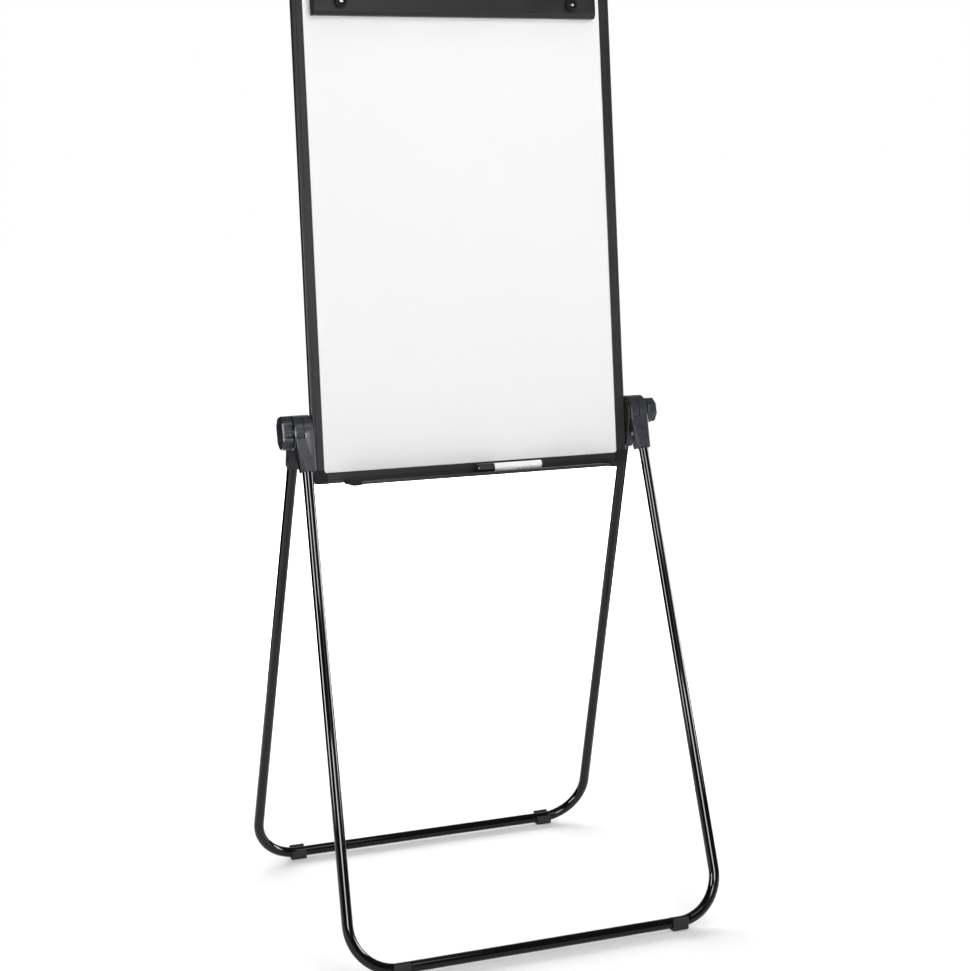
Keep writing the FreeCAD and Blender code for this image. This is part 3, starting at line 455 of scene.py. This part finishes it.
def fastener_tree():
    """Stands a fastener on every point, turned to the point's facing and spun by a fixed chance."""
    tree, start, end = group_tree("Fasteners on points", [
        ("Fastener", "NodeSocketObject"), ("Seed", "NodeSocketInt"), ("Finish", "NodeSocketMaterial")])
    shape = add(tree, "GeometryNodeObjectInfo", {"Object": start.outputs["Fastener"]})
    facing = add(tree, "GeometryNodeInputNamedAttribute", {"Name": "facing"}, data_type="FLOAT_VECTOR")
    aim = add(tree, "FunctionNodeAlignRotationToVector", {"Vector": facing.outputs["Attribute"]}, axis="Z")
    chance = add(tree, "FunctionNodeRandomValue", {
        "Min": 0.0, "Max": math.tau, "Seed": start.outputs["Seed"]}, data_type="FLOAT")
    spin = add(tree, "ShaderNodeCombineXYZ", {"Z": chance.outputs[1]})
    spun = add(tree, "FunctionNodeRotateRotation", {
        "Rotation": aim.outputs["Rotation"], "Rotate By": spin.outputs["Vector"]}, rotation_space="LOCAL")
    stand = add(tree, "GeometryNodeInstanceOnPoints", {
        "Points": start.outputs["Geometry"], "Instance": shape.outputs["Geometry"],
        "Rotation": spun.outputs["Rotation"]})
    whole = add(tree, "GeometryNodeRealizeInstances", {"Geometry": stand.outputs["Instances"]})
    coat = add(tree, "GeometryNodeSetMaterial", {
        "Geometry": whole.outputs["Geometry"], "Material": start.outputs["Finish"]})
    tree.links.new(coat.outputs["Geometry"], end.inputs["Geometry"])
    return tree


def points_with_facing(name, spots):
    """A mesh of loose points, each with the direction that it faces."""
    mesh = bpy.data.meshes.new(name)
    mesh.from_pydata([spot for spot, _ in spots], [], [])
    facing = mesh.attributes.new("facing", "FLOAT_VECTOR", "POINT")
    for index, (_, direction) in enumerate(spots):
        facing.data[index].vector = direction
    return link(name, mesh)


def islands(node):
    """The separate solids of a CAD node, each as its list of corners."""
    shape = bmesh.new()
    shape.from_mesh(frame["nodes"][node].data)
    bmesh.ops.remove_doubles(shape, verts=shape.verts, dist=MERGE)
    left = set(shape.verts)
    found = []
    while left:
        front = [left.pop()]
        corners = []
        while front:
            vert = front.pop()
            corners.append(vert.co.copy())
            for edge in vert.link_edges:
                other = edge.other_vert(vert)
                if other in left:
                    left.remove(other)
                    front.append(other)
        found.append(corners)
    shape.free()
    return found


def head_spots(node, directions):
    """Where the heads of a node's fasteners stand out farthest, for the directions that they face."""
    spots = []
    for corners in islands(node):
        middle = sum(corners, Vector()) / len(corners)
        for direction in directions(middle):
            top = max((corner - middle).dot(direction) for corner in corners)
            spots.append((middle + direction * top, direction))
    return spots


def fasten(node, shape, spots, finish_name):
    """Stands a fastener on each spot in the stead of a CAD node."""
    points = points_with_facing(node + "_points", spots)
    made = run_tree(points, fastener_tree(), {"Fastener": shape, "Seed": 7, "Finish": FINISHES[finish_name]})
    bpy.data.objects.remove(shape)
    return settle(made, node + "_set", node)


def turned(name, outline, sides=36):
    """A turned shape round Z from (radius, height) points, closed at both ends on the axis."""
    mesh = bpy.data.meshes.new(name)
    shape = bmesh.new()
    rings = []
    for radius, height in outline:
        if radius < 1e-9:
            rings.append([shape.verts.new((0.0, 0.0, height))])
            continue
        ring = []
        for step in range(sides):
            angle = math.tau * step / sides
            ring.append(shape.verts.new((radius * math.cos(angle), radius * math.sin(angle), height)))
        rings.append(ring)
    for low, high in zip(rings, rings[1:]):
        for step in range(sides):
            after = (step + 1) % sides
            below = [low[step % len(low)], low[after % len(low)]]
            above = [high[after % len(high)], high[step % len(high)]]
            shape.faces.new(dict.fromkeys(below + above))
    bmesh.ops.recalc_face_normals(shape, faces=shape.faces)
    for face in shape.faces:
        face.smooth = True
    for edge in shape.edges:
        edge.smooth = edge.calc_face_angle(0.0) < SHARP
    shape.to_mesh(mesh)
    shape.free()
    return link(name, mesh)


def dome(radius, rise, steps=5):
    """Outline of a low dome, from its rim to its crown."""
    points = []
    for step in range(steps + 1):
        angle = math.pi / 2 * step / steps
        points.append((radius * math.cos(angle), rise * math.sin(angle)))
    return points[:-1] + [(0.0, rise)]


def cross_cut(item, reach, width, depth, top):
    """Cuts a cross recess into the top of a screw head."""
    cutter_mesh = bpy.data.meshes.new("cross")
    shape = bmesh.new()
    for turn in (0.0, math.pi / 2):
        block = bmesh.ops.create_cube(shape, size=1.0)["verts"]
        bmesh.ops.scale(shape, vec=(reach, width, depth * 2), verts=block)
        bmesh.ops.rotate(shape, cent=(0, 0, 0), matrix=Matrix.Rotation(turn, 3, "Z"), verts=block)
        bmesh.ops.translate(shape, vec=(0, 0, top), verts=block)
    shape.to_mesh(cutter_mesh)
    shape.free()
    cutter = link("cross", cutter_mesh)
    cut = item.modifiers.new("Cross recess", "BOOLEAN")
    cut.object = cutter
    cut.solver = "EXACT"
    cut.use_self = True
    made = plain_mesh(item)
    bpy.data.objects.remove(cutter)
    return made


def crown_of(width, rise):
    """Outline of a fastener's domed head, with its crown at the origin."""
    return [(radius, height - rise) for radius, height in dome(width / 2, rise)]


def rivet(sizes):
    """A domed rivet head on a short shank."""
    shank = sizes.rivet_head / 4
    foot = -3 * sizes.rivet_rise
    outline = [(0.0, foot), (shank, foot), (shank, -sizes.rivet_rise)]
    return turned("rivet", outline + crown_of(sizes.rivet_head, sizes.rivet_rise))


def pan_screw(sizes):
    """A cross-recessed pan-head screw with a pointed shank."""
    head, rise = sizes.screw_head, sizes.screw_rise
    shank, point = head / 4, 0.6 * head / 4
    end = -sizes.screw_length
    outline = [(0.0, end), (point, end), (shank, end + shank), (shank, -rise)]
    screw = turned("screw", outline + crown_of(head, rise))
    cross_reach, cross_width, cross_depth = 0.55 * head, 0.12 * head, 0.7 * rise
    return cross_cut(screw, cross_reach, cross_width, cross_depth, 0.0)


# Operators


class EASEL_OT_leg_tubes(bpy.types.Operator):
    """Sweeps the two bent leg tubes"""
    bl_idname = "easel.leg_tubes"
    bl_label = "Leg tubes"

    def execute(self, context):
        sizes = context.scene.easel_sizes
        tree = swept_tube_tree()
        radius = sizes.tube_diameter / 2
        lean = sizes.leg_angle
        drop = PIVOT.z - radius - sizes.foot_sole + sizes.tube_offset * math.sin(lean)
        low = drop / math.cos(lean)
        rate = (sizes.floor_half_span - sizes.hinge_half_span) / low
        top_x = sizes.hinge_half_span + rate * sizes.tube_start
        path = [(-top_x, -sizes.tube_start), (-sizes.floor_half_span, -low),
                (sizes.floor_half_span, -low), (top_x, -sizes.tube_start)]
        for node, about in (("front_leg_tube", 0.0), ("rear_leg_tube", math.pi)):
            turn = Matrix.Rotation(about, 4, "Z") @ Matrix.Rotation(-lean, 4, "X")
            stand = Matrix.Translation(PIVOT) @ turn
            curve = bpy.data.curves.new(node, "CURVE")
            curve.dimensions = "3D"
            spline = curve.splines.new("POLY")
            spline.points.add(len(path) - 1)
            for point, (x, z) in zip(spline.points, path):
                point.co = (*(stand @ Vector((x + sizes.leg_shift, -sizes.tube_offset, z))), 1.0)
            item = run_tree(link(node + "_path", curve), tree, {
                "Bend radius": sizes.bend_radius, "Tube radius": radius,
                "Sides": sizes.tube_sides, "Finish": FINISHES["tube_paint"]})
            for face in item.data.polygons:
                face.use_smooth = len(face.vertices) == 4
            settle(item, node + "_enamelled", node)
        return {"FINISHED"}


class EASEL_OT_leg_sockets(bpy.types.Operator):
    """Dresses the moulded leg sockets and their rivets"""
    bl_idname = "easel.leg_sockets"
    bl_label = "Leg sockets"

    def execute(self, context):
        sizes = context.scene.easel_sizes
        for leg in ("front", "rear"):
            for side in ("left", "right"):
                dress("%s_%s_socket" % (leg, side), radius=sizes.edge_round * SOCKET_ROUND)
            node = leg + "_socket_rivets"
            spots = head_spots(node, lambda middle: (Vector((1, 0, 0)), Vector((-1, 0, 0))))
            outer_heads_painted_shade = [spot for spot in spots if spot[0].x * spot[1].x > 0]
            inner = [spot for spot in spots if spot[0].x * spot[1].x < 0]
            # The outer heads get the black coat as painted shade: the rivets are zinc-plated like the inner heads,
            # and the black stands in for the shade on the sockets' outer sides.
            fasten(node, rivet(sizes), outer_heads_painted_shade, "black_steel")
            fasten(node, rivet(sizes), inner, SLOT_OF[node])
        return {"FINISHED"}


class EASEL_OT_feet(bpy.types.Operator):
    """Dresses the rubber saddle feet"""
    bl_idname = "easel.feet"
    bl_label = "Feet"

    def execute(self, context):
        for leg in ("front", "rear"):
            for side in ("left", "right"):
                dress("%s_%s_foot" % (leg, side))
        return {"FINISHED"}


class EASEL_OT_writing_board(bpy.types.Operator):
    """Dresses the writing sheets and their core"""
    bl_idname = "easel.writing_board"
    bl_label = "Writing board"

    def execute(self, context):
        for node in ("front_writing_sheet", "back_writing_sheet", "board_core"):
            dress(node, radius=0.0)
        return {"FINISHED"}


class EASEL_OT_frame_rails(bpy.types.Operator):
    """Dresses the four frame rails and their corner caps"""
    bl_idname = "easel.frame_rails"
    bl_label = "Frame rails"

    def execute(self, context):
        sizes = context.scene.easel_sizes
        for node in ("left_rail", "right_rail"):
            dress(node, "upright_rail")
        for node in ("top_rail", "bottom_rail"):
            dress(node)
        for height in ("lower", "upper"):
            for side in ("left", "right"):
                dress("%s_%s_corner" % (height, side), "knob_black", sizes.edge_round * HAND_ROUND)
        return {"FINISHED"}


class EASEL_OT_pivots(bpy.types.Operator):
    """Dresses the pivot brackets, studs and washers"""
    bl_idname = "easel.pivots"
    bl_label = "Pivots"

    def execute(self, context):
        for side in ("left", "right"):
            dress(side + "_bracket")
            for piece in ("pivot_stud", "friction_washer", "clamp_washer"):
                dress("%s_%s" % (side, piece), radius=0.0)
        spots = head_spots("bracket_screws", lambda middle: (Vector((math.copysign(1, middle.x), 0, 0)),))
        fasten("bracket_screws", pan_screw(context.scene.easel_sizes), spots, SLOT_OF["bracket_screws"])
        return {"FINISHED"}


class EASEL_OT_knobs(bpy.types.Operator):
    """Dresses the clamp knobs and their bushes"""
    bl_idname = "easel.knobs"
    bl_label = "Clamp knobs"

    def execute(self, context):
        sizes = context.scene.easel_sizes
        for side in ("left", "right"):
            dress(side + "_knob", "moulding_black", sizes.edge_round * HAND_ROUND)
            dress(side + "_knob_insert", radius=0.0)
        return {"FINISHED"}


class EASEL_OT_marker_tray(bpy.types.Operator):
    """Dresses the marker tray, its ends and its screws"""
    bl_idname = "easel.marker_tray"
    bl_label = "Marker tray"

    def execute(self, context):
        dress("marker_tray")
        dress("left_tray_end", "knob_black")
        dress("right_tray_end", "knob_black")
        spots = head_spots("tray_screws", lambda middle: (-UP_BOARD,))
        fasten("tray_screws", pan_screw(context.scene.easel_sizes), spots, SLOT_OF["tray_screws"])
        return {"FINISHED"}


class EASEL_OT_pad_clamp(bpy.types.Operator):
    """Dresses the pad bar, its ends, the studs and the thumb nuts"""
    bl_idname = "easel.pad_clamp"
    bl_label = "Pad clamp"

    def execute(self, context):
        dress("pad_bar")
        dress("pad_studs", radius=0.0)
        for side in ("left", "right"):
            dress(side + "_bar_end", "knob_black")
            dress(side + "_thumb_nut", radius=0.0)
        return {"FINISHED"}


class EASEL_OT_marker(bpy.types.Operator):
    """Dresses the marker and its cap"""
    bl_idname = "easel.marker"
    bl_label = "Marker"

    def execute(self, context):
        for node in ("marker_barrel", "marker_nib", "marker_plug", "marker_cap"):
            dress(node, radius=0.0)
        return {"FINISHED"}


# Each lamp's place, aim, size and watts, and the kind of ray that does not see it. The wide lamps light the
# easel from the front, behind and above, and the floor from low behind; the cards give the tubes stripes.
LAMPS = (
    ("key_lamp", (0.5, -4.0, 2.3), (0.0, 0.0, 1.1), (3.0, 2.4), 95.0, "visible_glossy"),
    ("back_lamp", (0.0, 4.8, 2.3), (0.0, 0.0, 1.1), (5.0, 3.2), 95.0, "visible_glossy"),
    ("floor_lamp", (0.0, 4.8, 1.9), (0.0, 0.0, 0.4), (8.0, 3.2), 440.0, "visible_glossy"),
    ("top_lamp", (0.0, 0.3, 4.2), (0.0, 0.3, 0.0), (3.0, 3.0), 56.0, "visible_glossy"),
    ("upper_lamp", (0.42, -1.9, 3.3), (0.0, 0.0, 1.3), (1.2, 1.0), 17.0, None),
    ("key_card", (0.4, -4.0, 2.1), (0.0, 0.0, 1.1), (1.2, 1.4), 9.0, "visible_diffuse"),
    ("high_card", (-0.9, -4.0, 2.8), (0.0, 0.0, 0.8), (1.4, 0.7), 58.0, "visible_diffuse"),
    ("low_card", (-0.65, -4.0, 1.4), (0.0, 0.0, 0.3), (1.5, 0.8), 75.0, "visible_diffuse"),
    ("left_card", (-2.35, -0.58, 1.05), (0.0, 0.0, 0.7), (0.55, 1.2), 62.0, "visible_diffuse"),
    ("right_card", (2.6, -0.35, 1.0), (0.0, 0.0, 0.6), (2.2, 1.1), 115.0, "visible_diffuse"),
)
# Each flag's two ends on the floor and its height
FLAGS = (
    ("left_flag", (-2.1, 0.1), (-0.5, 2.1), 2.3),
    ("right_flag", (1.5, -1.0), (1.5, 1.4), 0.42),
)
FLOOR_HALF = 30.0
# The floor's own glow, near the easel and far from it, and the distances between which it rises
GLOW_NEAR, GLOW_FAR = 0.08, 1.0
NEAR, FAR = 0.5, 2.2
# The room's glow against the backdrop's, and the share of both that lights the easel
ROOM_GLOW = 0.14
LIGHT_SHARE = 0.35
WHITE = (1.0, 1.0, 1.0, 1.0)


def soft_box(name, spot, target, size, watts):
    """A rectangular studio lamp aimed at a point."""
    lamp = bpy.data.lights.new(name, "AREA")
    lamp.shape = "RECTANGLE"
    lamp.size, lamp.size_y = size
    lamp.energy = watts
    item = link(name, lamp)
    item.location = spot
    item.rotation_euler = (Vector(target) - Vector(spot)).to_track_quat("-Z", "Y").to_euler()
    return item


def black_flag(name, start, end, top, cloth):
    """A black card standing on the floor that only the gloss shows; it darkens the tubes' edges."""
    mesh = bpy.data.meshes.new(name)
    corners = [(*start, 0.0), (*end, 0.0), (*end, top), (*start, top)]
    mesh.from_pydata(corners, [], [(0, 1, 2, 3)])
    mesh.materials.append(cloth)
    flag = link(name, mesh)
    flag.visible_camera = False
    flag.visible_diffuse = False
    flag.visible_shadow = False


class EASEL_OT_stage(bpy.types.Operator):
    """Lays the pale floor, hangs the lamps and sets the camera"""
    bl_idname = "easel.stage"
    bl_label = "Studio"

    def execute(self, context):
        scene = context.scene
        floor = self.lay_floor(scene.easel_colours)
        self.light(scene, floor)
        self.set_camera(scene)
        scene.view_settings.view_transform = "Standard"
        return {"FINISHED"}

    def lay_floor(self, colours):
        mesh = bpy.data.meshes.new("studio_floor")
        half = FLOOR_HALF
        corners = [(-half, -half, 0), (half, -half, 0), (half, half, 0), (-half, half, 0)]
        mesh.from_pydata(corners, [], [(0, 1, 2, 3)])
        floor = link("studio_floor", mesh)
        # Seamless paper: matt and pale; what the camera and reflections see is lifted to white
        material, tree, shader = finish("seamless_paper", colours.floor, 0.9, Specular_IOR_Level=0.0)
        away = add(tree, "ShaderNodeVectorMath", {0: place(tree)}, operation="LENGTH")
        rise = add(tree, "ShaderNodeMapRange", {
            "Value": away.outputs["Value"], "From Min": NEAR, "From Max": FAR,
            "To Min": GLOW_NEAR, "To Max": GLOW_FAR}, interpolation_type="SMOOTHSTEP")
        seen = ray_is(tree, "Camera", "Glossy", "Transmission")
        lift = add(tree, "ShaderNodeMath", {0: seen, 1: rise.outputs["Result"]}, operation="MULTIPLY")
        shader.inputs["Emission Color"].default_value = WHITE
        tree.links.new(lift.outputs[0], shader.inputs["Emission Strength"])
        mesh.materials.append(material)
        return floor

    def light(self, scene, floor):
        world = bpy.data.worlds.new("studio")
        scene.world = world
        world.use_nodes = True
        tree = world.node_tree
        back = tree.nodes["Background"]
        back.inputs["Color"].default_value = WHITE
        # A white backdrop behind the easel, a dim room on the viewer's side and overhead
        around = add(tree, "ShaderNodeTexCoord").outputs["Generated"]
        facing = add(tree, "ShaderNodeSeparateXYZ", {"Vector": around})
        behind = add(tree, "ShaderNodeMapRange", {
            "Value": facing.outputs["Y"], "From Min": 0.45, "From Max": 0.85},
            interpolation_type="SMOOTHSTEP")
        overhead = add(tree, "ShaderNodeMapRange", {
            "Value": facing.outputs["Z"], "From Min": 0.35, "From Max": 0.75, "To Min": 1.0, "To Max": 0.0},
            interpolation_type="SMOOTHSTEP")
        wall = add(tree, "ShaderNodeMath", {0: behind.outputs["Result"], 1: overhead.outputs["Result"]},
                   operation="MULTIPLY")
        room = add(tree, "ShaderNodeMapRange", {"Value": wall.outputs[0], "To Min": ROOM_GLOW, "To Max": 1.0})
        seen = ray_is(tree, "Glossy", "Transmission")
        share = add(tree, "ShaderNodeMapRange", {"Value": seen, "To Min": LIGHT_SHARE, "To Max": 1.0})
        glow = add(tree, "ShaderNodeMath", {0: room.outputs["Result"], 1: share.outputs["Result"]},
                   operation="MULTIPLY")
        strength = add(tree, "ShaderNodeMath", {0: glow.outputs[0], 1: ray_is(tree, "Camera")},
                       operation="MAXIMUM")
        tree.links.new(strength.outputs[0], back.inputs["Strength"])
        for name, spot, target, size, watts, unseen in LAMPS:
            lamp = soft_box(name, spot, target, size, watts)
            if unseen:
                setattr(lamp, unseen, False)
        # The floor lamp lights only the floor, where the easel throws its shadow
        lit = bpy.data.collections.new("lit_by_floor_lamp")
        lit.objects.link(floor)
        scene.objects["floor_lamp"].light_linking.receiver_collection = lit
        # Black velvet on card: it gives back next to no light
        velvet = finish("black_velvet", linear("020202"), 1.0, Specular_IOR_Level=0.0)[0]
        for name, start, end, top in FLAGS:
            black_flag(name, start, end, top, velvet)

    def set_camera(self, scene):
        lens = bpy.data.cameras.new("photo_camera")
        lens.sensor_width = SENSOR
        lens.lens = FOCAL_PIXELS * SENSOR / IMAGE_HEIGHT
        lens.shift_x = (IMAGE_WIDTH / 2 - CENTRE_PIXELS[0]) / IMAGE_HEIGHT
        lens.shift_y = (CENTRE_PIXELS[1] - IMAGE_HEIGHT / 2) / IMAGE_HEIGHT
        forward = Vector((
            math.sin(CAMERA_YAW) * math.cos(CAMERA_PITCH),
            math.cos(CAMERA_YAW) * math.cos(CAMERA_PITCH),
            -math.sin(CAMERA_PITCH)))
        level = Vector((math.cos(CAMERA_YAW), -math.sin(CAMERA_YAW), 0.0))
        upward = level.cross(forward)
        right = level * math.cos(CAMERA_ROLL) + upward * math.sin(CAMERA_ROLL)
        up = upward * math.cos(CAMERA_ROLL) - level * math.sin(CAMERA_ROLL)
        turn = Matrix((right, up, -forward)).transposed()
        camera = link("photo_camera", lens)
        camera.matrix_world = Matrix.Translation(CAMERA_PLACE) @ turn.to_4x4()
        scene.camera = camera


PIECES = (
    EASEL_OT_leg_tubes,
    EASEL_OT_leg_sockets,
    EASEL_OT_feet,
    EASEL_OT_writing_board,
    EASEL_OT_frame_rails,
    EASEL_OT_pivots,
    EASEL_OT_knobs,
    EASEL_OT_marker_tray,
    EASEL_OT_pad_clamp,
    EASEL_OT_marker,
    EASEL_OT_stage,
)


class EASEL_PT_panel(bpy.types.Panel):
    """The easel's pieces, sizes and colours"""
    bl_idname = "EASEL_PT_panel"
    bl_label = "Easel"
    bl_space_type = "VIEW_3D"
    bl_region_type = "UI"
    bl_category = "Easel"

    def draw(self, context):
        for piece in PIECES:
            self.layout.operator(piece.bl_idname)
        for group in (context.scene.easel_sizes, context.scene.easel_colours):
            for name in group.bl_rna.properties.keys():
                if name not in ("rna_type", "name"):
                    self.layout.prop(group, name)


CLASSES = (EaselSizes, EaselColours) + PIECES + (EASEL_PT_panel,)


def register():
    for item in CLASSES:
        bpy.utils.register_class(item)
    bpy.types.Scene.easel_sizes = PointerProperty(type=EaselSizes)
    bpy.types.Scene.easel_colours = PointerProperty(type=EaselColours)


def unregister():
    del bpy.types.Scene.easel_colours
    del bpy.types.Scene.easel_sizes
    for item in reversed(CLASSES):
        bpy.utils.unregister_class(item)


def main():
    register()
    make_finishes(bpy.context.scene.easel_colours)
    for piece in PIECES:
        group, name = piece.bl_idname.split(".")
        getattr(getattr(bpy.ops, group), name)()


if __name__ == "__main__":
    main()
